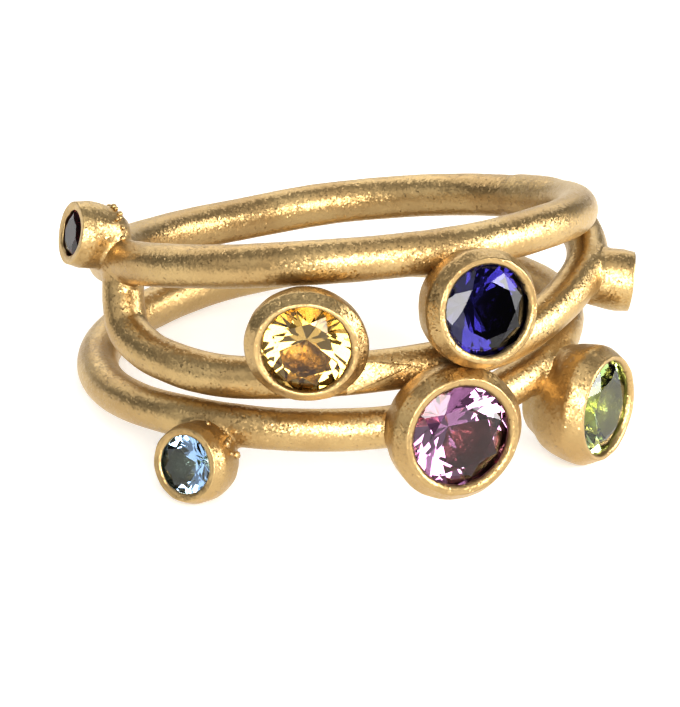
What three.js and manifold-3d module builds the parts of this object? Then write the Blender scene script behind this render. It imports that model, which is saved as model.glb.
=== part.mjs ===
// A stacked ring of round gold wire with seven cut stones in rub-over cups.
//
// Two closed hoops, tilted against each other, and one wire that crosses between them are soldered
// into a single piece of metal, and each stone sits in a cup soldered to the wires.
// Millimetres. The ring is laid out about the finger's axis (z along the finger, angle 0 at the
// front, -y, and growing towards +x) and then laid down on the table, +z up.

import * as THREE from 'three';
import { mergeVertices } from 'three/addons/utils/BufferGeometryUtils.js';
import { ConvexHull } from 'three/addons/math/ConvexHull.js';
import Module from 'manifold-3d';

// Driving sizes
const FINGER_BORE = 16.9; // inside diameter, ring size 53
const WIRE = 1.8; // diameter of the round wire
const STACK = 9.2; // height of the stack along the finger, wire centre to wire centre
const LARGE_STONE = 4; // diameter of the large stones, near enough
const SMALL_STONE = 2.1; // diameter of the small ones
const CUP_WALL = 0.36; // metal round the widest part of a stone
const STONE_GAP = 0.05; // air between a stone and its cup

// Fineness of the facets
const WIRE_SIDES = 12;
const HOOP_STEPS = 60;
const CROSSING_STEPS = 36;
const CUP_SIDES = 24;

// Routes of the three wires. angle: degrees round the finger. rise: share of STACK, from its middle.
// out: share of WIRE by which the wire stands off the finger's cylinder.
const TOP_HOOP = [
  { angle: -150, rise: 0.0, out: -0.06 },
  { angle: -120, rise: -0.055, out: -0.08 },
  { angle: -90, rise: -0.03, out: -0.1 },
  { angle: -60, rise: 0.085, out: -0.03 },
  { angle: -30, rise: 0.212, out: 0 },
  { angle: 0, rise: 0.342, out: 0 },
  { angle: 30, rise: 0.438, out: 0 },
  { angle: 60, rise: 0.499, out: -0.02 },
  { angle: 90, rise: 0.471, out: -0.1 },
  { angle: 120, rise: 0.378, out: -0.06 },
  { angle: 150, rise: 0.261, out: 0 },
  { angle: 180, rise: 0.127, out: 0 },
];
const BOTTOM_HOOP = [
  { angle: -150, rise: -0.285, out: 0 },
  { angle: -120, rise: -0.415, out: -0.06 },
  { angle: -90, rise: -0.484, out: -0.12 },
  { angle: -60, rise: -0.504, out: -0.06 },
  { angle: -30, rise: -0.466, out: 0 },
  { angle: 0, rise: -0.409, out: 0 },
  { angle: 30, rise: -0.315, out: 0 },
  { angle: 60, rise: -0.16, out: 0 },
  { angle: 90, rise: -0.03, out: -0.04 },
  { angle: 120, rise: -0.012, out: 0 },
  { angle: 150, rise: -0.045, out: 0 },
  { angle: 180, rise: -0.148, out: 0 },
];
const CROSSING = [
  { angle: -62.2, rise: -0.1, out: 0 },
  { angle: -57.5, rise: -0.214, out: 0 },
  { angle: -50, rise: -0.25, out: 0 },
  { angle: -42, rise: -0.26, out: 0 },
  { angle: -25, rise: -0.251, out: 0 },
  { angle: 0, rise: -0.165, out: 0 },
  { angle: 20, rise: -0.095, out: 0 },
  { angle: 40, rise: -0.03, out: 0 },
  { angle: 57, rise: 0.045, out: 0 },
  { angle: 66, rise: 0.106, out: 0.08 },
  { angle: 76, rise: 0.18, out: 0.2 },
  { angle: 86, rise: 0.247, out: 0.3 },
  { angle: 98, rise: 0.305, out: 0.26 },
  { angle: 108, rise: 0.358, out: 0.1 },
];
const LEFT_TUCK = [-68, -80]; // angles at which the crossing wire's left end lies inside the top hoop
const RIGHT_TUCK = [117, 130]; // the same for its right end
const THINNER = { top: 0.97, bottom: 0.93, crossing: 0.93 }; // the wires' own thickness, share of WIRE

// Where the seven cups sit. beside: how far above (+) or below (-) the wire's line, share of cup and
// wire radius. turn: degrees the cup looks round the finger past straight out. tip: degrees it looks up.
const CUP_SEATS = {
  yellow_stone: { wire: 'crossing', angle: -5.3, beside: 0.54, turn: 6.7, tip: -3 },
  violet_stone: { wire: 'crossing', angle: 31.5, beside: 0.714, turn: -5, tip: 8 },
  pink_stone: { wire: 'bottom', angle: 29.7, beside: -0.007, turn: -5.7, tip: 0 },
  green_stone: { wire: 'bottom', angle: 71.5, beside: -0.538, turn: -10.2, tip: 3 },
  blue_stone: { wire: 'bottom', angle: -23.9, beside: -0.577, turn: -9.1, tip: 1 },
  dark_red_stone: { wire: 'top', angle: -72.4, beside: 0.414, turn: 6.4, tip: 5 },
  side_stone: { wire: 'crossing', angle: 86, beside: -0.23, turn: 7, tip: 0 },
};
// Their sizes. stone: diameter. height: rim over the wire's skin, share of the stone. stout: wall,
// share of CUP_WALL. foot: radius of the foot, share of the cup's. full: power that its swell is
// raised to, under 1 for a rounder bucket. oval: height of its outside across the mouth, share of its
// width.
const CUP_SIZES = {
  yellow_stone: { stone: 0.98 * LARGE_STONE, height: 0.38, stout: 1.35, foot: 0.74, full: 1, oval: 0.91 },
  violet_stone: { stone: 1.02 * LARGE_STONE, height: 0.42, stout: 1.05, foot: 0.66, full: 1.2, oval: 0.98 },
  pink_stone: { stone: 1.14 * LARGE_STONE, height: 0.38, stout: 1.25, foot: 0.66, full: 1, oval: 1 },
  green_stone: { stone: 1.07 * LARGE_STONE, height: 0.48, stout: 0.85, foot: 0.6, full: 1.15, oval: 1 },
  blue_stone: { stone: 1.26 * SMALL_STONE, height: 0.46, stout: 0.8, foot: 0.66, full: 1, oval: 1 },
  dark_red_stone: { stone: SMALL_STONE, height: 0.58, stout: 0.85, foot: 0.62, full: 0.75, oval: 1 },
  side_stone: { stone: 0.9 * SMALL_STONE, height: 0.52, stout: 0.85, foot: 0.84, full: 1.3, oval: 1 },
};
// Colours of the polished stones
const STONE_COLOURS = {
  yellow_stone: 0xd9b56a,
  violet_stone: 0x2a1f7a,
  pink_stone: 0xb0688c,
  green_stone: 0x8fc65a,
  blue_stone: 0x5f95bd,
  dark_red_stone: 0x3a0f22,
  side_stone: 0xb9c4cf,
};
const CUPS = Object.entries(CUP_SEATS).map(([name, seat]) => ({ name, ...seat, ...CUP_SIZES[name] }));

// Outside of a cup. swell: share of the way from its foot's radius to its own. up: share of its
// height over the wire's centre line.
const CUP_OUTLINE = [
  { swell: 0, up: -0.05 },
  { swell: 0.34, up: 0.1 },
  { swell: 0.66, up: 0.24 },
  { swell: 0.9, up: 0.46 },
  { swell: 1, up: 0.72 },
  { swell: 0.9, up: 0.88 },
  { swell: 0.64, up: 1 },
];
const CUP_LIP = 0.06; // how far the rim laps over the stone, share of the stone
const GIRDLE_DEPTH = 0.13; // stone's widest line below the rim, share of the stone

// Proportions of the round cut, as shares of the stone's diameter
const CUT = { table: 0.56, crown: 0.12, girdle: 0.03, pavilion: 0.45 };
const CUT_FACETS = 8; // main facets round the crown, and round the pavilion
const LOWER_FACETS_END = 0.3; // where the facets under the girdle end, share of the stone's radius

const FULL_TURN = 360; // degrees
const HALVINGS = 40; // steps in the search for an angle on a route
const WELD = 1e-4; // corners closer than this, in millimetres, are one

const wasm = await Module();
wasm.setup();

const radians = THREE.MathUtils.degToRad;

// A point of a wire's centre line from its angle, rise and stand-off
function onFinger(angle, rise, out) {
  const radius = (FINGER_BORE + WIRE) / 2 + out * WIRE;
  return new THREE.Vector3(radius * Math.sin(angle), -radius * Math.cos(angle), rise * STACK);
}

// A wire's route: a smooth line through the rows of its table, kept round about the finger
class WireRoute extends THREE.Curve {
  constructor(rows, closed) {
    super();
    const shifted = (row, turns) => ({ ...row, angle: row.angle + turns * FULL_TURN });
    const before = closed ? [shifted(rows.at(-1), -1)] : [];
    const after = closed ? [shifted(rows[0], 1), shifted(rows[1], 1)] : [];
    this.rows = [...before, ...rows, ...after];
    this.first = before.length;
    this.spans = closed ? rows.length : rows.length - 1;
    const knots = this.rows.map((row) => new THREE.Vector3(radians(row.angle), row.rise, row.out));
    this.spline = new THREE.CatmullRomCurve3(knots, false, 'catmullrom', 0.5);
  }

  layout(t) {
    const knot = this.first + t * this.spans;
    return this.spline.getPoint(knot / (this.rows.length - 1));
  }

  getPoint(t, target = new THREE.Vector3()) {
    const at = this.layout(t);
    return target.copy(onFinger(at.x, at.y, at.z));
  }

  // The spot on the route at an angle, found by halving
  atAngle(degrees) {
    const wanted = radians(degrees);
    let low = 0;
    let high = 1;
    for (let step = 0; step < HALVINGS; step += 1) {
      const middle = (low + high) / 2;
      if (this.layout(middle).x < wanted) low = middle;
      else high = middle;
    }
    return this.layout((low + high) / 2);
  }
}

const topHoop = new WireRoute(TOP_HOOP, true);
const bottomHoop = new WireRoute(BOTTOM_HOOP, true);

// A row of the crossing wire that lies inside the top hoop
function tuckedRow(angle) {
  const around = angle < TOP_HOOP[0].angle ? angle + FULL_TURN : angle;
  const spot = topHoop.atAngle(around);
  return { angle, rise: spot.y, out: spot.z };
}

const crossing = new WireRoute(
  [...LEFT_TUCK.map(tuckedRow).reverse(), ...CROSSING, ...RIGHT_TUCK.map(tuckedRow)],
  false,
);

// A closed mesh as a solid
function solidOf(geometry) {
  const bare = geometry.clone();
  bare.deleteAttribute('normal');
  bare.deleteAttribute('uv');
  const welded = mergeVertices(bare, WELD);
  return new wasm.Manifold(
    new wasm.Mesh({
      numProp: 3,
      vertProperties: new Float32Array(welded.attributes.position.array),
      triVerts: new Uint32Array(welded.index.array),
    }),
  );
}

function geometryOf(solid) {
  const mesh = solid.getMesh();
  const geometry = new THREE.BufferGeometry();
  geometry.setAttribute('position', new THREE.BufferAttribute(mesh.vertProperties, 3));
  geometry.setIndex(new THREE.BufferAttribute(mesh.triVerts, 1));
  return geometry;
}

const routes = { top: topHoop, bottom: bottomHoop, crossing };

const wireRadius = (name) => (WIRE * THINNER[name]) / 2;

// A hoop: a round wire bent back on to itself
function hoopSolid(name) {
  return solidOf(new THREE.TubeGeometry(routes[name], HOOP_STEPS, wireRadius(name), WIRE_SIDES, true));
}

// The crossing wire: a round section carried along its route
function crossingSolid() {
  const section = new THREE.Shape().absarc(0, 0, wireRadius('crossing'), 0, 2 * Math.PI);
  return solidOf(
    new THREE.ExtrudeGeometry(section, {
      steps: CROSSING_STEPS,
      curveSegments: WIRE_SIDES,
      bevelEnabled: false,
      extrudePath: crossing,
    }),
  );
}

const cupRadius = (cup) => cup.stone / 2 + cup.stout * CUP_WALL;
const rimHeight = (cup) => WIRE / 2 + cup.height * cup.stone;

// Place of a cup: its origin on the wire's centre line, z out of its mouth
function cupPlace(cup) {
  const spot = routes[cup.wire].atAngle(cup.angle);
  const foot = onFinger(spot.x, spot.y, spot.z);
  foot.z += cup.beside * (cupRadius(cup) + WIRE / 2);
  const around = radians(cup.angle + cup.turn);
  const tip = radians(cup.tip);
  const mouth = new THREE.Vector3(
    Math.sin(around) * Math.cos(tip),
    -Math.cos(around) * Math.cos(tip),
    Math.sin(tip),
  );
  const level = new THREE.Vector3(Math.cos(around), Math.sin(around), 0);
  return new THREE.Matrix4()
    .makeBasis(level, new THREE.Vector3().crossVectors(mouth, level), mouth)
    .setPosition(foot);
}

// A turned body about its own z
function turned(outline, sides) {
  const profile = outline.map(([across, up]) => new THREE.Vector2(across, up));
  return new THREE.LatheGeometry(profile, sides).rotateX(Math.PI / 2);
}

// The full body of a cup, before its seat is cut
function cupBody(cup) {
  const across = (swell) => cupRadius(cup) * THREE.MathUtils.lerp(cup.foot, 1, swell ** cup.full);
  const outline = CUP_OUTLINE.map((row) => [across(row.swell), row.up * rimHeight(cup)]);
  const closed = [[0, outline[0][1]], ...outline, [0, rimHeight(cup)]];
  return solidOf(turned(closed, CUP_SIDES).scale(1, cup.oval, 1).applyMatrix4(cupPlace(cup)));
}

// Height of a stone's girdle over its cup's origin
const girdleHeight = (cup) => rimHeight(cup) - GIRDLE_DEPTH * cup.stone;

// The seat: the stone's own outline, larger by the gap, and the mouth over it
function seatCut(cup) {
  const girdle = cup.stone / 2 + STONE_GAP;
  const mouth = cup.stone / 2 - CUP_LIP * cup.stone;
  const level = girdleHeight(cup);
  const shoulder = level + (CUT.girdle * cup.stone) / 2 + STONE_GAP;
  const closing = shoulder + (girdle - mouth) * (CUT.crown / ((1 - CUT.table) / 2));
  const above = rimHeight(cup) + cup.stone;
  const outline = [
    [0, level - CUT.pavilion * cup.stone - 2 * STONE_GAP],
    [girdle, level - (CUT.girdle * cup.stone) / 2 - STONE_GAP],
    [girdle, shoulder],
    [mouth, closing],
    [mouth, above],
    [0, above],
  ];
  return solidOf(turned(outline, CUP_SIDES).applyMatrix4(cupPlace(cup)));
}

// The soldered metal: three wires and seven cups, with the seats cut last
function bandGeometry() {
  const wires = [hoopSolid('top'), hoopSolid('bottom'), crossingSolid()];
  const whole = [...wires, ...CUPS.map(cupBody)].reduce((sum, piece) => sum.add(piece));
  return geometryOf(CUPS.map(seatCut).reduce((rest, seat) => rest.subtract(seat), whole));
}

// A round cut stone about its own z, girdle at z = 0: table, stars, mains, girdle, pavilion
function cutStone(diameter) {
  const edge = diameter / 2;
  const table = (CUT.table * diameter) / 2;
  const top = (CUT.girdle * diameter) / 2 + CUT.crown * diameter;
  const belt = (CUT.girdle * diameter) / 2;
  const keel = CUT.pavilion * diameter;
  const half = Math.PI / CUT_FACETS;
  const star = (edge + table) / 2;
  const deep = edge * LOWER_FACETS_END;
  const starTop = belt + ((top - belt) * (edge - star * Math.cos(half))) / (edge - table);
  const deepTop = -belt - (keel - belt) * (1 - (deep * Math.cos(half)) / edge);
  const points = [];
  const ring = (count, radius, height, offset) => {
    const start = points.length / 3;
    for (let i = 0; i < count; i += 1) {
      const angle = (2 * Math.PI * i) / count + offset;
      points.push(radius * Math.cos(angle), radius * Math.sin(angle), height);
    }
    return (i) => start + (((i % count) + count) % count);
  };
  const tops = ring(CUT_FACETS, table, top, 0);
  const stars = ring(CUT_FACETS, star, starTop, half);
  const upper = ring(2 * CUT_FACETS, edge, belt, 0);
  const lower = ring(2 * CUT_FACETS, edge, -belt, 0);
  const deeps = ring(CUT_FACETS, deep, deepTop, half);
  const culet = points.length / 3;
  points.push(0, 0, -keel);
  const faces = [];
  for (let i = 0; i < CUT_FACETS; i += 1) {
    if (i > 1) faces.push(tops(0), tops(i - 1), tops(i));
    faces.push(tops(i), stars(i), tops(i + 1));
    faces.push(tops(i), stars(i - 1), upper(2 * i), tops(i), upper(2 * i), stars(i));
    faces.push(stars(i), upper(2 * i), upper(2 * i + 1));
    faces.push(stars(i), upper(2 * i + 1), upper(2 * i + 2));
    faces.push(deeps(i), lower(2 * i + 1), lower(2 * i));
    faces.push(deeps(i), lower(2 * i + 2), lower(2 * i + 1));
    faces.push(culet, deeps(i), lower(2 * i), culet, lower(2 * i), deeps(i - 1));
  }
  for (let i = 0; i < 2 * CUT_FACETS; i += 1) {
    faces.push(upper(i), lower(i), lower(i + 1), upper(i), lower(i + 1), upper(i + 1));
  }
  const geometry = new THREE.BufferGeometry();
  geometry.setAttribute('position', new THREE.Float32BufferAttribute(points, 3));
  geometry.setIndex(faces);
  return geometry;
}

// Centre of mass of a closed mesh, from the tetrahedra between its faces and the origin
function massCentre(geometry) {
  const place = geometry.attributes.position;
  const [a, b, c] = [new THREE.Vector3(), new THREE.Vector3(), new THREE.Vector3()];
  const centre = new THREE.Vector3();
  let volume = 0;
  for (let i = 0; i < geometry.index.count; i += 3) {
    [a, b, c].forEach((corner, k) => corner.fromBufferAttribute(place, geometry.index.getX(i + k)));
    const part = a.dot(new THREE.Vector3().crossVectors(b, c)) / 6;
    centre.addScaledVector(new THREE.Vector3().add(a).add(b).add(c), part / 4);
    volume += part;
  }
  return centre.divideScalar(volume);
}

// The turn that lays the ring on the table: of the flats that span its lowest points, the one
// that the centre of mass stands over with the most to spare looks straight down
function layingTurn(geometry) {
  const place = geometry.attributes.position;
  const corners = Array.from({ length: place.count }, (_, i) =>
    new THREE.Vector3().fromBufferAttribute(place, i));
  const centre = massCentre(geometry);
  const hull = new ConvexHull().setFromPoints(corners);
  const spare = (face) => {
    const foot = centre.clone().addScaledVector(face.normal, -face.distanceToPoint(centre));
    let least = Infinity;
    let edge = face.edge;
    do {
      const along = edge.head().point.clone().sub(edge.tail().point).normalize();
      const inward = new THREE.Vector3().crossVectors(face.normal, along);
      least = Math.min(least, inward.dot(foot.clone().sub(edge.tail().point)));
      edge = edge.next;
    } while (edge !== face.edge);
    return least;
  };
  const under = hull.faces.filter((face) => face.normal.z < -Math.SQRT1_2);
  const base = under.reduce((best, face) => (spare(face) > spare(best) ? face : best));
  return new THREE.Quaternion().setFromUnitVectors(base.normal, new THREE.Vector3(0, 0, -1));
}

const mattedGold = new THREE.MeshStandardMaterial({ color: 0xd9a95c, roughness: 0.42, metalness: 1 });

const polished = (color) => new THREE.MeshStandardMaterial({ color, roughness: 0.05, metalness: 0 });

const band = new THREE.Mesh(bandGeometry(), mattedGold);
band.name = 'band';

// The ring as laid out about the finger, turned to lie on the table
const lying = new THREE.Group();
lying.quaternion.copy(layingTurn(band.geometry));
lying.add(band);
for (const cup of CUPS) {
  const stone = new THREE.Mesh(cutStone(cup.stone), polished(STONE_COLOURS[cup.name]));
  stone.name = cup.name;
  cupPlace(cup).decompose(stone.position, stone.quaternion, stone.scale);
  stone.translateZ(girdleHeight(cup));
  lying.add(stone);
}
lying.updateMatrixWorld(true);
const reach = new THREE.Box3().setFromObject(lying, true);
const middle = reach.getCenter(new THREE.Vector3());
lying.position.set(-middle.x, -middle.y, -reach.min.z);

const ring = new THREE.Group();
ring.add(lying);

export default ring;
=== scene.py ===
# The looks of a stacked ring of matted gold wire with seven cut stones in rub-over cups.
#
# The three wires and the seven cups are worked out again as fine surfaces, run together by solder
# where they meet, and stand for the frame's metal. The frame's own cut stones stay and get their gems.
# The ring is laid out about the finger's axis in millimetres, as the frame's metal was (z along the
# finger, angle 0 at the front, -y, and growing towards +x), and each piece is then carried to where
# the frame's stones show that the ring lies.

import math

import bpy
import numpy as np
from mathutils import Matrix, Vector


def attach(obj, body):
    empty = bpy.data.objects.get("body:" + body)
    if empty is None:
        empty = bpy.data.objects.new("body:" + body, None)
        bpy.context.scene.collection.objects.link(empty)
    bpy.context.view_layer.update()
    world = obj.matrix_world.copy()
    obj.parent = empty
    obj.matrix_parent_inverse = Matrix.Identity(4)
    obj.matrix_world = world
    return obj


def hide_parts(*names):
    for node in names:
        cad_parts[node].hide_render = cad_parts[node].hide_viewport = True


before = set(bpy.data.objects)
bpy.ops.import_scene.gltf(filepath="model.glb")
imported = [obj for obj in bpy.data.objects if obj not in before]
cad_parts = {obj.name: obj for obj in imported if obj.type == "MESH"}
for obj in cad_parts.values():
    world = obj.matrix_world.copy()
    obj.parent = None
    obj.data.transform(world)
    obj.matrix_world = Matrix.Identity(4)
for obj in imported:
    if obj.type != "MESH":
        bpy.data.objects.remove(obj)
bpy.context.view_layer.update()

MM = 0.001

# Driving sizes in millimetres, as the frame has them
FINGER_BORE = 16.9
WIRE = 1.8
STACK = 9.2
LARGE_STONE = 4.0
SMALL_STONE = 2.1
CUP_WALL = 0.36
STONE_GAP = 0.05

# Routes of the three wires: degrees round the finger, rise as a share of STACK from its middle, and
# the share of WIRE by which the wire stands off the finger's cylinder. The crossing wire's left bend is
# a tenth of a millimetre gentler than the frame's, which eases the crease on its inner side.
TOP_HOOP = (
    (-150, 0.0, -0.06), (-120, -0.055, -0.08), (-90, -0.03, -0.1), (-60, 0.085, -0.03),
    (-30, 0.212, 0), (0, 0.342, 0), (30, 0.438, 0), (60, 0.499, -0.02),
    (90, 0.471, -0.1), (120, 0.378, -0.06), (150, 0.261, 0), (180, 0.127, 0),
)
BOTTOM_HOOP = (
    (-150, -0.285, 0), (-120, -0.415, -0.06), (-90, -0.484, -0.12), (-60, -0.504, -0.06),
    (-30, -0.466, 0), (0, -0.409, 0), (30, -0.315, 0), (60, -0.16, 0),
    (90, -0.03, -0.04), (120, -0.012, 0), (150, -0.045, 0), (180, -0.148, 0),
)
CROSSING = (
    (-62.4, -0.1, 0), (-58, -0.2, 0), (-50.5, -0.244, 0), (-42, -0.26, 0), (-25, -0.251, 0),
    (0, -0.165, 0), (20, -0.095, 0), (40, -0.03, 0), (57, 0.045, 0),
    (66, 0.106, 0.08), (76, 0.18, 0.2), (86, 0.247, 0.3), (98, 0.305, 0.26),
    (108, 0.358, 0.1),
)
LEFT_TUCK = (-80, -68)  # angles at which the crossing wire's ends lie inside the top hoop
RIGHT_TUCK = (117, 130)
THINNER = {"top": 0.97, "bottom": 0.93, "crossing": 0.93}  # the wires' own thickness, share of WIRE

# The seven cups. wire and angle: where the foot sits. beside: off the wire's line, share of cup and
# wire radius. turn and tip: degrees that the mouth looks past straight out, and up. stone: diameter.
# height: rim over the wire's skin, share of the stone. stout: wall, share of CUP_WALL. foot: its
# radius, share of the cup's. full: power that the outline's swell is raised to. oval: how tall the
# outside is across the mouth, share of its width. face: how far out the flat face of the rim goes, as
# a swell.
CUPS = {
    "yellow": dict(wire="crossing", angle=-5.3, beside=0.54, turn=6.7, tip=-3,
                   stone=0.98 * LARGE_STONE, height=0.38, stout=1.35, foot=0.74, full=1, oval=0.91,
                   face=0.36),
    "violet": dict(wire="crossing", angle=31.5, beside=0.714, turn=-5, tip=8,
                   stone=1.02 * LARGE_STONE, height=0.42, stout=1.05, foot=0.66, full=1.2, oval=0.98,
                   face=0.62),
    "pink": dict(wire="bottom", angle=29.7, beside=-0.007, turn=-5.7, tip=0,
                 stone=1.14 * LARGE_STONE, height=0.38, stout=1.25, foot=0.66, full=1, oval=1, face=0.6),
    "green": dict(wire="bottom", angle=71.5, beside=-0.538, turn=-10.2, tip=3,
                  stone=1.07 * LARGE_STONE, height=0.48, stout=0.85, foot=0.6, full=1.15, oval=1, face=0.66),
    "blue": dict(wire="bottom", angle=-23.9, beside=-0.577, turn=-9.1, tip=1,
                 stone=1.26 * SMALL_STONE, height=0.46, stout=0.8, foot=0.66, full=1, oval=1, face=0.7),
    "dark_red": dict(wire="top", angle=-72.4, beside=0.414, turn=6.4, tip=5,
                     stone=SMALL_STONE, height=0.58, stout=0.85, foot=0.62, full=0.75, oval=1, face=0.8),
    "side": dict(wire="crossing", angle=86, beside=-0.23, turn=7, tip=0,
                 stone=0.9 * SMALL_STONE, height=0.52, stout=0.85, foot=0.84, full=1.3, oval=1, face=0.7),
}
# Outside of a cup from its foot to its belly: share of the way from the foot's radius to its own, share
# of its height. A straight chamfer goes on to the rim's face; the frame's cups have a plain rounded
# shoulder there.
CUP_OUTLINE = ((0, -0.05), (0.34, 0.1), (0.66, 0.24), (0.9, 0.46), (1, 0.7), (0.985, 0.78))
CUP_LIP = 0.06  # how far the rim laps over the stone, share of the stone
GIRDLE_DEPTH = 0.13  # stone's widest line below the rim, share of the stone
CUT = dict(table=0.56, crown=0.12, girdle=0.03, pavilion=0.45)

# How wide solder runs up, in millimetres: between a cup and its own wire and at the crossing wire's
# ends, between wires that lie side by side, and where a cup only touches
SOLDER = 0.3
SEAM = 0.15
TOUCH = 0.03


# Shapes


def spline_spot(rows, closed, share):
    """A smooth line through rows of (angle, rise, out): the uniform Catmull-Rom cubic of the four rows
    about each span. A closed line's rows go round again past 360 degrees, and an open line's end rows
    are mirrored through its ends. share runs from 0 to 1 and may be an array."""
    table = np.array(rows, float)
    round_once = np.array([360.0, 0, 0])
    if closed:
        table = np.vstack([table[-1] - round_once, table, table[0] + round_once, table[1] + round_once])
    else:
        table = np.vstack([2 * table[0] - table[1], table, 2 * table[-1] - table[-2]])
    spans = len(rows) if closed else len(rows) - 1
    knot = 1 + np.asarray(share, float) * spans
    at = np.clip(np.floor(knot).astype(int), 1, spans)
    f = (knot - at)[..., None]
    a, b, c, d = (table[at + shift] for shift in (-1, 0, 1, 2))
    return 0.5 * (2 * b + (c - a) * f + (2 * a - 5 * b + 4 * c - d) * f**2 + (3 * b - a - 3 * c + d) * f**3)


def on_finger(spot):
    """Points of a wire's centre line from (angle, rise, out): the finger's cylinder, its radius plus
    half a wire plus out wires, turned to the angle and raised by the rise."""
    angle = np.radians(spot[..., 0])
    radius = (FINGER_BORE + WIRE) / 2 + spot[..., 2] * WIRE
    return np.stack([radius * np.sin(angle), -radius * np.cos(angle), spot[..., 1] * STACK], -1)


def at_angle(rows, closed, degrees):
    """The (angle, rise, out) of a route at an angle, read off a dense walk along it."""
    walk = spline_spot(rows, closed, np.linspace(0, 1, 6001))
    return np.array([degrees, *(np.interp(degrees, walk[:, 0], walk[:, k]) for k in (1, 2))])


def tucked(angle):
    """A row of the crossing wire that lies inside the top hoop."""
    return tuple(at_angle(TOP_HOOP, True, angle))


ROUTES = {
    "top": (TOP_HOOP, True),
    "bottom": (BOTTOM_HOOP, True),
    "crossing": ((*map(tucked, LEFT_TUCK), *CROSSING, *map(tucked, RIGHT_TUCK)), False),
}
THICKNESS = {name: WIRE * share for name, share in THINNER.items()}


def unit(vectors):
    """Vectors divided by their own lengths."""
    return vectors / np.linalg.norm(vectors, axis=-1, keepdims=True)


def lerp(a, b, share):
    """The value share of the way from a to b on a straight line."""
    return a + (b - a) * share


def cup_place(cup):
    """Where a cup sits: its origin on the wire's centre line moved beside it, and its three axes as
    rows: level, up and out of the mouth."""
    rows, closed = ROUTES[cup["wire"]]
    foot = on_finger(at_angle(rows, closed, cup["angle"]))
    foot[2] += cup["beside"] * (cup_radius(cup) + WIRE / 2)
    around, tip = math.radians(cup["angle"] + cup["turn"]), math.radians(cup["tip"])
    mouth = np.array([math.sin(around) * math.cos(tip), -math.cos(around) * math.cos(tip), math.sin(tip)])
    level = np.array([math.cos(around), math.sin(around), 0])
    return foot, np.array([level, np.cross(mouth, level), mouth])


def cup_radius(cup):
    """A cup's greatest radius: half its stone and its wall."""
    return cup["stone"] / 2 + cup["stout"] * CUP_WALL


def rim_height(cup):
    """The rim over the wire's centre line: half a wire and the cup's height in stones."""
    return WIRE / 2 + cup["height"] * cup["stone"]


def girdle_height(cup):
    """The stone's widest line over the wire's centre line: the rim less the girdle's depth."""
    return rim_height(cup) - GIRDLE_DEPTH * cup["stone"]


for cup in CUPS.values():
    cup["origin"], cup["axes"] = cup_place(cup)


def noise(points, size, seed):
    """Smooth noise from -1 to 1: a random value at each corner of a lattice of cubes, size across,
    blended between the eight corners about a point by 3t^2 - 2t^3 along each axis."""
    values = np.random.default_rng(seed).uniform(-1, 1, (32, 32, 32))
    scaled = points / size
    low = np.floor(scaled).astype(int)
    t = scaled - low
    t = t * t * (3 - 2 * t)
    total = 0
    for corner in np.ndindex(2, 2, 2):
        weight = np.prod(np.where(corner, t, 1 - t), -1)
        i, j, k = np.moveaxis((low + corner) % 32, -1, 0)
        total = total + weight * values[i, j, k]
    return total


def polyline_distance(points, line):
    """Least distance from points to a line of straight pieces, each point set against each piece."""
    start, run = line[:-1], np.diff(line, axis=0)
    reach = points[:, None] - start
    share = np.clip((reach * run).sum(-1) / np.maximum((run**2).sum(-1), 1e-12), 0, 1)
    return np.linalg.norm(reach - share[..., None] * run, axis=-1).min(1)


WIRE_STEPS = 900  # steps along a wire's line when a distance to it is taken


def centre_line(name):
    """A wire's centre line in even steps of its share."""
    rows, closed = ROUTES[name]
    return on_finger(spline_spot(rows, closed, np.linspace(0, 1, WIRE_STEPS + 1)))


LINES = {name: centre_line(name) for name in ROUTES}


def wire_distance(points, name):
    """Distance to a wire's skin, negative inside: to the nearest of the line's steps, then to the
    straight through it along the line, less the radius."""
    line = LINES[name]
    squares = (line**2).sum(1)
    parts = np.array_split(points, len(points) // 4000 + 1)
    nearest = np.concatenate([np.argmin(squares - 2 * part @ line.T, 1) for part in parts])
    closed = ROUTES[name][1]
    tangent = unit(np.gradient(line, axis=0))
    reach = points - line[nearest]
    along = (reach * tangent[nearest]).sum(1)
    if not closed:
        past_end = (nearest == 0) & (along < 0) | (nearest == WIRE_STEPS) & (along > 0)
        along = np.where(past_end, 0, along)
    across = reach - along[:, None] * tangent[nearest]
    return np.linalg.norm(across, axis=1) - THICKNESS[name] / 2


def cup_outline(cup):
    """The outside of a cup as (across, up): the smooth line through the outline's rows, then the
    straight chamfer."""
    rows = [(0, swell ** cup["full"], up) for swell, up in CUP_OUTLINE]
    body = spline_spot(rows, False, np.linspace(0, 1, 36))[:, 1:]
    line = np.vstack([body, np.linspace(body[-1], (cup["face"], 1), 9)[1:]])
    across = cup_radius(cup) * lerp(cup["foot"], 1, line[:, 0])
    return np.stack([across, line[:, 1] * rim_height(cup)], 1)


def in_cup(points, cup):
    """Points as (across, up) in a cup's own frame, an oval one made round."""
    own = (points - cup["origin"]) @ cup["axes"].T
    return np.stack([np.hypot(own[:, 0], own[:, 1] / cup["oval"]), own[:, 2]], 1)


OUT_OF_REACH = 9.0  # stands for the distance to a cup that is nowhere near


def cup_distance(points, cup):
    """Distance to a full cup's skin, negative inside, from the outline turned about its axis."""
    spots = in_cup(points, cup)
    outline = cup_outline(cup)
    low, high = outline[0, 1], outline[-1, 1]
    whole = np.vstack([[0, low], outline, [0, high]])
    inside = (spots[:, 1] > low) & (spots[:, 1] < high)
    inside &= spots[:, 0] < np.interp(spots[:, 1], outline[:, 1], outline[:, 0])
    far = np.full(len(points), OUT_OF_REACH)
    near = np.hypot(spots[:, 0], spots[:, 1]) < cup_radius(cup) + rim_height(cup) + WIRE
    far[near] = polyline_distance(spots[near], whole)
    return np.where(inside, -far, far)


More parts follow.
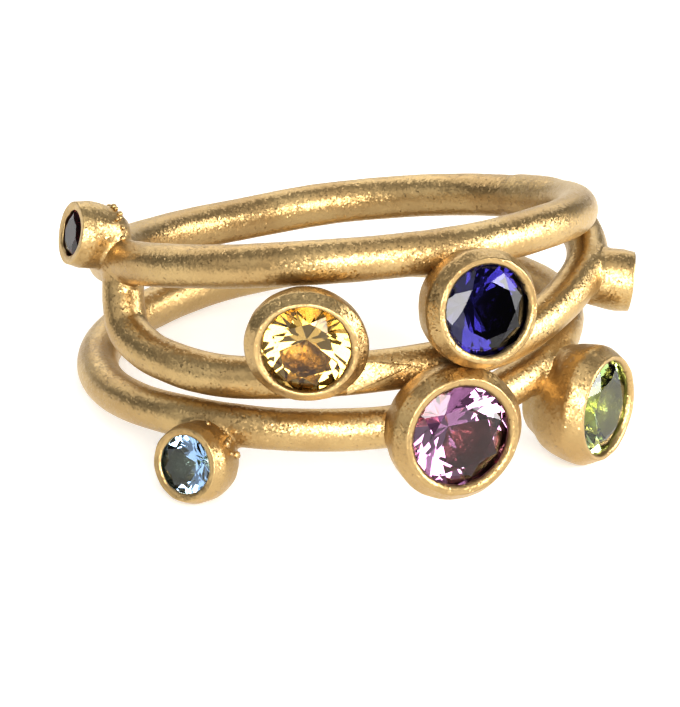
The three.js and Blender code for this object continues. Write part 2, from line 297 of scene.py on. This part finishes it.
def seat_outline(cup):
    """The seat as (across, up), from the mouth down: the mouth's wall, the shoulder over the girdle,
    the girdle's wall and the cone under the stone."""
    girdle = cup["stone"] / 2 + STONE_GAP
    mouth = cup["stone"] / 2 - CUP_LIP * cup["stone"]
    belt = CUT["girdle"] * cup["stone"] / 2 + STONE_GAP
    level = girdle_height(cup)
    closing = level + belt + (girdle - mouth) * CUT["crown"] / ((1 - CUT["table"]) / 2)
    tip = level - CUT["pavilion"] * cup["stone"] - 2 * STONE_GAP
    return np.array([[mouth, closing], [girdle, level + belt], [girdle, level - belt], [0, tip]])


def smooth_min(a, b, width):
    """The lesser of two distances, rounded where they are within width of each other."""
    share = np.clip(0.5 + 0.5 * (b - a) / width, 0, 1)
    return lerp(b, a, share) - width * share * (1 - share)


def run_together(points, normals, others, weight=1.0):
    """Draws solder up to a surface's neighbours: for each of them, a (distance, width) pair, the
    points go out along their normals until the rounded minimum of their own distance and the
    neighbour's is nought, a quarter of the width at most. The furthest of these counts."""
    furthest = np.zeros(len(points))
    for distance, width in others:
        near = distance(points) < width
        out = np.zeros(near.sum())
        for _ in range(4):
            away = distance(points[near] + out[:, None] * normals[near])
            out = np.clip(out - smooth_min(out, away, width), 0, width / 4)
        furthest[near] = np.maximum(furthest[near], out)
    return points + (furthest * weight)[:, None] * normals


UNDER_SEAT = 0.06  # how far a wire stays behind the seats it would show in, in millimetres


def clear_seats(points):
    """Presses what lies in a cup's seat down behind the seat's wall: under the cone by UNDER_SEAT."""
    for cup in CUPS.values():
        own = (points - cup["origin"]) @ cup["axes"].T
        across = np.hypot(own[:, 0], own[:, 1])
        seat = seat_outline(cup)
        girdle, edge = seat[2]
        tip = seat[3, 1]
        floor = lerp(tip, edge, across / girdle) - UNDER_SEAT
        within = (across < girdle) & (own[:, 2] > floor) & (own[:, 2] < rim_height(cup) + WIRE)
        own[:, 2] = np.where(within, floor, own[:, 2])
        points = cup["origin"] + own @ cup["axes"]
    return points


def neighbours(name):
    """The distance to every wire and cup but the one named, each with the width of its solder."""
    soldered = [{cup, facts["wire"]} for cup, facts in CUPS.items()] + [{"top", "crossing"}]
    pairs = []
    for other in [*ROUTES, *CUPS]:
        if other == name:
            continue
        if {name, other} in soldered:
            width = SOLDER
        elif {name, other} <= set(ROUTES):
            width = SEAM
        else:
            width = TOUCH
        if other in ROUTES:
            distance = lambda points, other=other: wire_distance(points, other)
        else:
            distance = lambda points, other=other: cup_distance(points, CUPS[other])
        pairs.append((distance, width))
    return pairs


def lying_place():
    """The turn and shift from the layout to the frame: the rigid fit, by singular values, of the
    middles of the stones' tables as laid out to the same middles in the frame's stones. A table is
    the facet with the greatest area, all triangles that look the same way added up."""
    laid, lying = [], []
    for name, cup in CUPS.items():
        top = girdle_height(cup) + (CUT["girdle"] / 2 + CUT["crown"]) * cup["stone"]
        laid.append(cup["origin"] + top * cup["axes"][2])
        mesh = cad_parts[name + "_stone"].data
        corners = np.zeros(len(mesh.loops), int)
        mesh.loops.foreach_get("vertex_index", corners)
        places = np.zeros(len(mesh.vertices) * 3)
        mesh.vertices.foreach_get("co", places)
        triangles = places.reshape(-1, 3)[corners].reshape(-1, 3, 3) / MM
        facing = np.cross(triangles[:, 1] - triangles[:, 0], triangles[:, 2] - triangles[:, 0])
        area = np.linalg.norm(facing, axis=1)
        alike = unit(facing) @ unit(facing).T > 0.9999
        table = alike[np.argmax(alike @ area)]
        lying.append((triangles[table].mean(1) * area[table, None]).sum(0) / area[table].sum())
    laid, lying = np.array(laid), np.array(lying)
    left, _, right = np.linalg.svd((laid - laid.mean(0)).T @ (lying - lying.mean(0)))
    turn = right.T @ np.diag([1, 1, np.linalg.det(right.T @ left.T)]) @ left.T
    shift = lying.mean(0) - turn @ laid.mean(0)
    return turn, shift, np.abs(laid @ turn.T + shift - lying).max()


TURN, SHIFT, MISFIT = lying_place()
print("stones' tables fit the frame to", round(MISFIT, 4), "mm")


def shell(rows, wrap=False, ends=False):
    """A closed shell from rows of points, each row going round: its points and its faces. wrap joins
    the last row to the first, ends closes the two end rows with a point each. Faces are turned to look
    out by the sign of the volume."""
    count, around = rows.shape[:2]
    places = rows.reshape(-1, 3)
    row, spot = np.meshgrid(np.arange(count if wrap else count - 1), np.arange(around), indexing="ij")
    following, beyond = (row + 1) % count, (spot + 1) % around
    this, after = row * around, following * around
    quads = np.stack([this + spot, this + beyond, after + beyond, after + spot], -1).reshape(-1, 4)
    faces = quads.tolist()
    first, second, fourth = (places[quads[:, k]] - places.mean(0) for k in (0, 1, 3))
    volume = (first * np.cross(second, fourth)).sum()
    if ends:
        turn = np.arange(around)
        for end, start in ((0, 0), (1, (count - 1) * around)):
            pole = len(places)
            places = np.vstack([places, places[start:start + around].mean(0)])
            fan = np.stack([start + turn, np.full(around, pole), start + (turn + 1) % around], -1)
            faces += (fan if end == 0 else fan[:, ::-1]).tolist()
    if volume < 0:
        faces = [face[::-1] for face in faces]
    return places, faces


def piece_of(name, *shells):
    """One smooth piece from shells in the layout, carried to where the ring lies."""
    places, faces = [], []
    for points, around in shells:
        start = sum(map(len, places))
        faces += [[start + corner for corner in face] for face in around]
        places.append(points)
    mesh = bpy.data.meshes.new(name)
    mesh.from_pydata(((np.vstack(places) @ TURN.T + SHIFT) * MM).tolist(), [], faces)
    mesh.shade_smooth()
    piece = bpy.data.objects.new(name, mesh)
    bpy.context.scene.collection.objects.link(piece)
    return piece


HOOP_ROWS = 840
CROSSING_ROWS = 520
WIRE_SIDES = 60


def wire_piece(name):
    """A round wire: at each step of its line a circle in the plane across it, measured from straight
    out of the finger, its radius uneven by a little noise, then solder and the cups' seats."""
    rows, closed = ROUTES[name]
    count = HOOP_ROWS if closed else CROSSING_ROWS
    share = np.arange(count) / count if closed else np.linspace(0, 1, count)
    line = on_finger(spline_spot(rows, closed, share))
    step = 1e-4
    tangent = unit(on_finger(spline_spot(rows, closed, np.clip(share + step, 0, 1)))
                   - on_finger(spline_spot(rows, closed, np.clip(share - step, 0, 1))))
    outward = line * [1, 1, 0]
    outward = unit(outward - (outward * tangent).sum(1, keepdims=True) * tangent)
    beside = np.cross(tangent, outward)
    turn = 2 * np.pi * np.arange(WIRE_SIDES) / WIRE_SIDES
    normals = outward[:, None] * np.cos(turn)[:, None] + beside[:, None] * np.sin(turn)[:, None]
    points = (line[:, None] + normals * THICKNESS[name] / 2).reshape(-1, 3)
    normals = normals.reshape(-1, 3)
    uneven = 0.016 * noise(points, 2.3, 1) + 0.009 * noise(points, 0.8, 2)
    points = points + uneven[:, None] * normals
    points = run_together(points, normals, neighbours(name))
    points = clear_seats(points)
    return piece_of(name + "_wire", shell(points.reshape(count, WIRE_SIDES, 3), wrap=closed, ends=not closed))


def cup_profile(cup):
    """The whole turned line of a cup as (across, up), and which of its points are skin: from the
    middle of the foot out, up the outline, over the rim's flat face, which falls to the mouth with the
    fourth power of the way in, and down the seat's walls to its tip."""
    outline = cup_outline(cup)
    seat = seat_outline(cup)
    foot = np.linspace([0.02, outline[0, 1]], outline[0], 5)[:-1]
    inner = seat[0] + [0, 0.05 * cup["stone"] / 2]
    way_in = 1 - np.linspace(1, 0, 15)[1:, None] ** 1.6
    rim = np.hstack([lerp(outline[-1, 0], inner[0], way_in),
                     lerp(outline[-1, 1], inner[1], way_in ** 4)])
    cone = np.linspace(seat[2], seat[3] + [0.02, 0], 14)[1:]
    line = np.vstack([foot, outline, rim, seat[:3], cone])
    skin = np.concatenate([np.ones(len(foot) + len(outline)), np.linspace(1, 0, len(rim)),
                           np.zeros(3 + len(cone))])
    return line, skin


def cup_piece(name):
    """A cup: its profile turned about its axis, oval on the outside and round at the mouth, hammered
    uneven on the outside and most at the rim, with solder drawn up to the wires."""
    cup = CUPS[name]
    line, skin = cup_profile(cup)
    around = 24 * math.ceil(2 * np.pi * cup_radius(cup) / 0.1 / 24)
    angle = 2 * np.pi * np.arange(around) / around
    level, up, mouth = cup["axes"]
    oval = lerp(1, cup["oval"], skin)[:, None]
    ring = np.cos(angle)[:, None] * level + (oval * np.sin(angle))[..., None] * up
    run = np.gradient(line, axis=0)
    facing = unit(np.stack([run[:, 1], -run[:, 0]], 1))
    points = cup["origin"] + line[:, :1, None] * ring + line[:, 1:, None] * mouth
    normals = unit(facing[:, :1, None] * ring + facing[:, 1:, None] * mouth)
    points, normals, ring = (part.reshape(-1, 3) for part in (points, normals, ring))
    weight = np.repeat(skin, around)
    uneven = weight * (0.03 * noise(points, 1.3, 3) + 0.024 * noise(points, 0.5, 4))
    points = points + uneven[:, None] * normals
    edge = np.exp(-((line - seat_outline(cup)[0]) ** 2).sum(1) / (0.16 * CUP_WALL) ** 2)
    points = points + (0.08 * np.repeat(edge, around) * noise(points, 0.33, 5))[:, None] * ring
    points = run_together(points, normals, neighbours(name), weight)
    return piece_of(name + "_cup", shell(points.reshape(len(line), around, 3), ends=True))


# Solder that was left standing proud
FIN = dict(begins=5.0, ends=19.6, high=0.72, thick=0.14, squareness=4, tilts=(10, 22))  # degrees, mm
# Beads of solder about the foot of a cup. around: degrees about the cup's axis from level. up: over the
# wire's centre line. size: radius of the beads.
BEADS = {
    "dark_red": dict(count=10, around=(-10, 110), up=0.5, size=0.14),
    "blue": dict(count=7, around=(15, 80), up=0.85, size=0.12),
}


def solder_fin():
    """A flat tongue of solder on the crossing wire beside the yellow cup: along the wire's front a
    section |y/h|^4 + |x/t|^4 = 1, whose height shrinks evenly to the tip and whose thickness with the
    square root of the way left, turned up by its tilt."""
    rows, closed = ROUTES["crossing"]
    share = np.linspace(0, 1, 60)
    angles = lerp(FIN["begins"], FIN["ends"], share)
    line = on_finger(np.stack([at_angle(rows, closed, angle) for angle in angles]))
    tangent = unit(np.gradient(line, axis=0))
    tilt = np.radians(lerp(*FIN["tilts"], share))[:, None]
    outward = unit(line * [1, 1, 0])
    outward = outward * np.cos(tilt) + [0, 0, 1] * np.sin(tilt)
    outward = unit(outward - (outward * tangent).sum(1, keepdims=True) * tangent)
    beside = np.cross(tangent, outward)
    turn = 2 * np.pi * np.arange(40) / 40
    power = 2 / FIN["squareness"]
    x = np.sign(np.cos(turn)) * np.abs(np.cos(turn)) ** power
    y = np.sign(np.sin(turn)) * np.abs(np.sin(turn)) ** power
    left = (1 - share)[:, None]
    high = FIN["high"] * left + 0.03
    thick = FIN["thick"] * left**0.5 + 0.02
    middle = line + outward * (THICKNESS["crossing"] / 2 - 0.03)
    points = middle[:, None] + (x * thick)[..., None] * outward[:, None]
    points = points + (y * high)[..., None] * beside[:, None]
    points = points + 0.02 * noise(points, 0.4, 6)[..., None] * outward[:, None]
    return piece_of("solder_fin", shell(points, ends=True))


def solder_beads(name):
    """Round grains of solder half sunk in a cup's side: uneven balls on an arc, their places and sizes
    spread by chance from one seed."""
    cup, facts = CUPS[name], BEADS[name]
    chance = np.random.default_rng(len(name))
    count = facts["count"]
    around = np.radians(np.linspace(*facts["around"], count) + chance.uniform(-9, 9, count))
    up = facts["up"] * chance.uniform(0.55, 1.4, count)
    outline = cup_outline(cup)
    out = np.interp(up, outline[:, 1], outline[:, 0]) + 0.02
    middles = cup["origin"] + np.stack([out * np.cos(around), out * np.sin(around), up], 1) @ cup["axes"]
    sizes = facts["size"] * chance.uniform(0.5, 1.3, count)
    rise = np.linspace(-0.97, 0.97, 14)[:, None]
    rise = rise * np.pi / 2
    turn = 2 * np.pi * np.arange(20) / 20
    ball = np.stack([np.cos(rise) * np.cos(turn), np.cos(rise) * np.sin(turn), np.sin(rise) + 0 * turn], -1)
    balls = middles[:, None, None] + sizes[:, None, None, None] * ball
    balls = balls + 0.35 * sizes[:, None, None, None] * noise(balls, 0.2, 7)[..., None] * ball
    return piece_of(name + "_solder", *(shell(one, ends=True) for one in balls))


# Materials


def srgb(code):
    """A colour from its sRGB hex code, as linear red, green, blue and 1."""
    parts = [int(code[i:i + 2], 16) / 255 for i in (1, 3, 5)]
    return (*(c / 12.92 if c <= 0.04045 else ((c + 0.055) / 1.055) ** 2.4 for c in parts), 1)


def add(tree, kind, values=None, links=None, **settings):
    """Adds a node: settings are its own, values go on its sockets, links are what feeds its sockets."""
    made = tree.nodes.new("ShaderNode" + kind)
    for key, value in settings.items():
        setattr(made, key, value)
    for socket, value in (values or {}).items():
        made.inputs[socket].default_value = value
    for socket, source in (links or {}).items():
        tree.links.new(source, made.inputs[socket])
    return made


def material(name):
    """An empty material: its tree, its shader and its output."""
    made = bpy.data.materials.new(name)
    made.use_nodes = True
    tree = made.node_tree
    return made, tree, tree.nodes["Principled BSDF"], tree.nodes["Material Output"]


def matted_gold():
    """18 carat yellow gold, matted with grit and a fine wire brush: a warm dull metal whose tiny
    grains each tilt their own way, few of them far enough to flash. Grit of 0.03 mm is too fine to
    show, so the grains are drawn 0.07 mm across."""
    made, tree, shader, _ = material("matted_gold")
    place = add(tree, "TexCoord").outputs["Object"]
    cloud = add(tree, "TexNoise", {"Scale": 1 / (2.5 * MM), "Detail": 3}, {"Vector": place})
    tone = add(tree, "ValToRGB", links={"Fac": cloud.outputs["Fac"]})
    tone.color_ramp.elements[0].position = 0.35
    tone.color_ramp.elements[0].color = srgb("#B59B70")
    tone.color_ramp.elements[1].position = 0.65
    tone.color_ramp.elements[1].color = srgb("#C5AD80")
    tree.links.new(tone.outputs["Color"], shader.inputs["Base Color"])
    shader.inputs["Metallic"].default_value = 1

    brushed = add(tree, "TexNoise", {"Scale": 1 / (0.22 * MM), "Detail": 2, "Roughness": 0.5},
                  {"Vector": place})
    rough = add(tree, "MapRange", {"To Min": 0.33, "To Max": 0.43}, {"Value": brushed.outputs["Fac"]})
    tree.links.new(rough.outputs["Result"], shader.inputs["Roughness"])

    grains = add(tree, "TexVoronoi", {"Scale": 1 / (0.07 * MM)}, {"Vector": place})
    chance = add(tree, "SeparateColor", links={"Color": grains.outputs["Color"]})
    centred = add(tree, "VectorMath", {1: (0.5, 0.5, 0.5)}, {0: grains.outputs["Color"]},
                  operation="SUBTRACT")
    few = add(tree, "Math", {1: 9}, {0: chance.outputs["Green"]}, operation="POWER")
    lean = add(tree, "MapRange", {"To Min": 0.21, "To Max": 0.6}, {"Value": few.outputs["Value"]})
    tilt = add(tree, "VectorMath", links={0: centred.outputs["Vector"], "Scale": lean.outputs["Result"]},
               operation="SCALE")
    dents = add(tree, "Bump", {"Strength": 0.07, "Distance": 0.02 * MM}, {"Height": brushed.outputs["Fac"]})
    leaning = add(tree, "VectorMath", links={0: dents.outputs["Normal"], 1: tilt.outputs["Vector"]})
    facing = add(tree, "VectorMath", links={0: leaning.outputs["Vector"]}, operation="NORMALIZE")
    tree.links.new(facing.outputs["Vector"], shader.inputs["Normal"])
    return made


# The gems: common name, IOR, and the colour of a stone's depth
GEMS = {
    "yellow": dict(name="honey_quartz", ior=1.55, colour="#F2EABC", depth="#CCB04C", strength=390),
    "violet": dict(name="iolite", ior=1.6, colour="#8A80D8", depth="#382494", strength=700),
    "pink": dict(name="mauve_tourmaline", ior=1.63, colour="#EECCE2", depth="#A468A8", strength=300),
    "green": dict(name="peridot", ior=1.67, colour="#ECF8C4", depth="#9CD884", strength=120),
    "blue": dict(name="sky_topaz", ior=1.62, colour="#D4ECFA", depth="#3C90D0", strength=230),
    "dark_red": dict(name="garnet", ior=1.78, colour="#A84870", depth="#601038", strength=800),
    "side": dict(name="pale_topaz", ior=1.62, colour="#E4ECF2", depth="#A8BCCC", strength=200),
}


def gem(name, ior, colour, depth, strength):
    """A polished cut stone: clear, with colour that deepens along the light's way through it."""
    made, tree, shader, output = material(name)
    shader.inputs["Base Color"].default_value = srgb(colour)
    shader.inputs["Transmission Weight"].default_value = 1
    shader.inputs["IOR"].default_value = ior
    shader.inputs["Roughness"].default_value = 0.01
    inside = add(tree, "VolumeAbsorption", {"Color": srgb(depth), "Density": strength})
    tree.links.new(inside.outputs["Volume"], output.inputs["Volume"])
    return made


def white_card():
    """Matt white card: an even pale floor with no grain of its own."""
    made, tree, shader, _ = material("white_card")
    place = add(tree, "TexCoord").outputs["Object"]
    mottle = add(tree, "TexNoise", {"Scale": 1 / (9 * MM), "Detail": 3}, {"Vector": place})
    tone = add(tree, "ValToRGB", links={"Fac": mottle.outputs["Fac"]})
    tone.color_ramp.elements[0].color = srgb("#D6D5D3")
    tone.color_ramp.elements[1].color = srgb("#DCDBD9")
    tree.links.new(tone.outputs["Color"], shader.inputs["Base Color"])
    shader.inputs["Roughness"].default_value = 0.8
    shader.inputs["Emission Color"].default_value = srgb("#FFFFFF")
    shader.inputs["Emission Strength"].default_value = 0.45
    return made


# The object

gold = matted_gold()
pieces = [wire_piece(name) for name in ROUTES] + [cup_piece(name) for name in CUPS]
pieces += [solder_fin()] + [solder_beads(name) for name in BEADS]
for piece in pieces:
    piece.data.materials.append(gold)
    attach(piece, "root")
    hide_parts("band")

for name, facts in GEMS.items():
    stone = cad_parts[name + "_stone"]
    stone.data.materials.clear()
    stone.data.materials.append(gem(**facts))

# Floor, light and camera

FLOOR = 600 * MM  # side of the square


def floor():
    """The table top: one square card under the ring."""
    mesh = bpy.data.meshes.new("floor")
    half = FLOOR / 2
    corners = [(-half, -half, 0), (half, -half, 0), (half, half, 0), (-half, half, 0)]
    mesh.from_pydata(corners, [], [(0, 1, 2, 3)])
    mesh.materials.append(white_card())
    piece = bpy.data.objects.new("floor", mesh)
    bpy.context.scene.collection.objects.link(piece)


floor()


def world_point(laid):
    """A place in the layout, turned, shifted and brought to metres."""
    return Vector((TURN @ np.asarray(laid, float) + SHIFT) * MM)


def world_way(way):
    """A direction in the layout, turned."""
    return Vector(TURN @ np.asarray(way, float))


# The camera, against the layout: it looks down on the ring's front by its tip and leans by its roll.
CAMERA_TIP = 14.0
CAMERA_ROLL = 7.7
CAMERA_FAR = 280.0
CAMERA_TARGET = (0, 0, -0.78)
PIXELS_PER_MM = 24.75
TARGET_PIXEL = (333.8, 300.0)
PICTURE = (680, 707)
SENSOR = 36.0


def look_from(place, right, up, back):
    """A camera object's matrix from its three axes and its place."""
    return Matrix.Translation(place) @ Matrix((right, up, back)).transposed().to_4x4()


def camera():
    """The camera, far off as a long lens has it, and turned a little so that its target lands on the
    target's pixel."""
    tip, roll = math.radians(CAMERA_TIP), math.radians(CAMERA_ROLL)
    back = np.array([0, -math.cos(tip), math.sin(tip)])
    level = np.array([1.0, 0, 0])
    upright = np.cross(back, level)
    right = level * math.cos(roll) + upright * math.sin(roll)
    up = upright * math.cos(roll) - level * math.sin(roll)
    place = np.array(CAMERA_TARGET) + CAMERA_FAR * back
    aside = (PICTURE[0] / 2 - TARGET_PIXEL[0]) / PIXELS_PER_MM
    below = (PICTURE[1] / 2 - TARGET_PIXEL[1]) / PIXELS_PER_MM
    aim = np.array(CAMERA_TARGET) + aside * right - below * up
    back = unit(place - aim)
    right = unit(np.cross(up, back))
    up = np.cross(back, right)
    data = bpy.data.cameras.new("camera")
    data.sensor_width = SENSOR
    data.lens = SENSOR * PIXELS_PER_MM * CAMERA_FAR / max(PICTURE)
    data.clip_start = 10 * MM
    data.clip_end = 5
    made = bpy.data.objects.new("camera", data)
    bpy.context.scene.collection.objects.link(made)
    made.matrix_world = look_from(world_point(place), world_way(right), world_way(up), world_way(back))
    bpy.context.scene.camera = made
    return made


view = camera()


def softbox(name, azimuth, elevation, distance, size, power, colour="#FFFFFF"):
    """A soft square light round the ring: azimuth 0 is the camera's side, growing to its right."""
    data = bpy.data.lights.new(name, "AREA")
    data.shape = "SQUARE"
    data.size = size
    data.energy = power
    data.color = srgb(colour)[:3]
    toward = view.matrix_world.translation * Vector((1, 1, 0))
    base = math.atan2(toward.y, toward.x)
    turn, rise = base + math.radians(azimuth), math.radians(elevation)
    way = Vector((math.cos(turn) * math.cos(rise), math.sin(turn) * math.cos(rise), math.sin(rise)))
    made = bpy.data.objects.new(name, data)
    bpy.context.scene.collection.objects.link(made)
    made.location = way * distance
    made.rotation_euler = way.to_track_quat("Z", "Y").to_euler()


softbox("window", 8, 27, 0.45, 0.28, 2.7, "#FFFDF8")
softbox("right_window", 79, 20, 0.45, 0.24, 1.15)
softbox("far_right_window", 95, 22, 0.45, 0.3, 1.3)
softbox("left_window", -60, 30, 0.45, 0.3, 0.35)
softbox("back_card", 180, 32, 0.45, 0.4, 0.9)
softbox("back_left_card", -135, 32, 0.45, 0.3, 0.5)
softbox("ceiling", 0, 75, 0.45, 0.4, 0.6)


def white_tent(dim, bright):
    """A white tent round it all, dim on the gold, and bright for the light that the stones pass on, so
    that their insides are lively."""
    world = bpy.data.worlds.new("white_tent")
    world.use_nodes = True
    tree = world.node_tree
    way = add(tree, "LightPath")
    strength = add(tree, "MapRange", {"To Min": dim, "To Max": bright},
                   {"Value": way.outputs["Is Transmission Ray"]})
    tree.nodes["Background"].inputs["Color"].default_value = srgb("#F2F0EC")
    tree.links.new(strength.outputs["Result"], tree.nodes["Background"].inputs["Strength"])
    return world


bpy.context.scene.world = white_tent(0.07, 0.6)
bpy.context.scene.view_settings.view_transform = "Standard"
bpy.context.scene.view_settings.gamma = 0.8
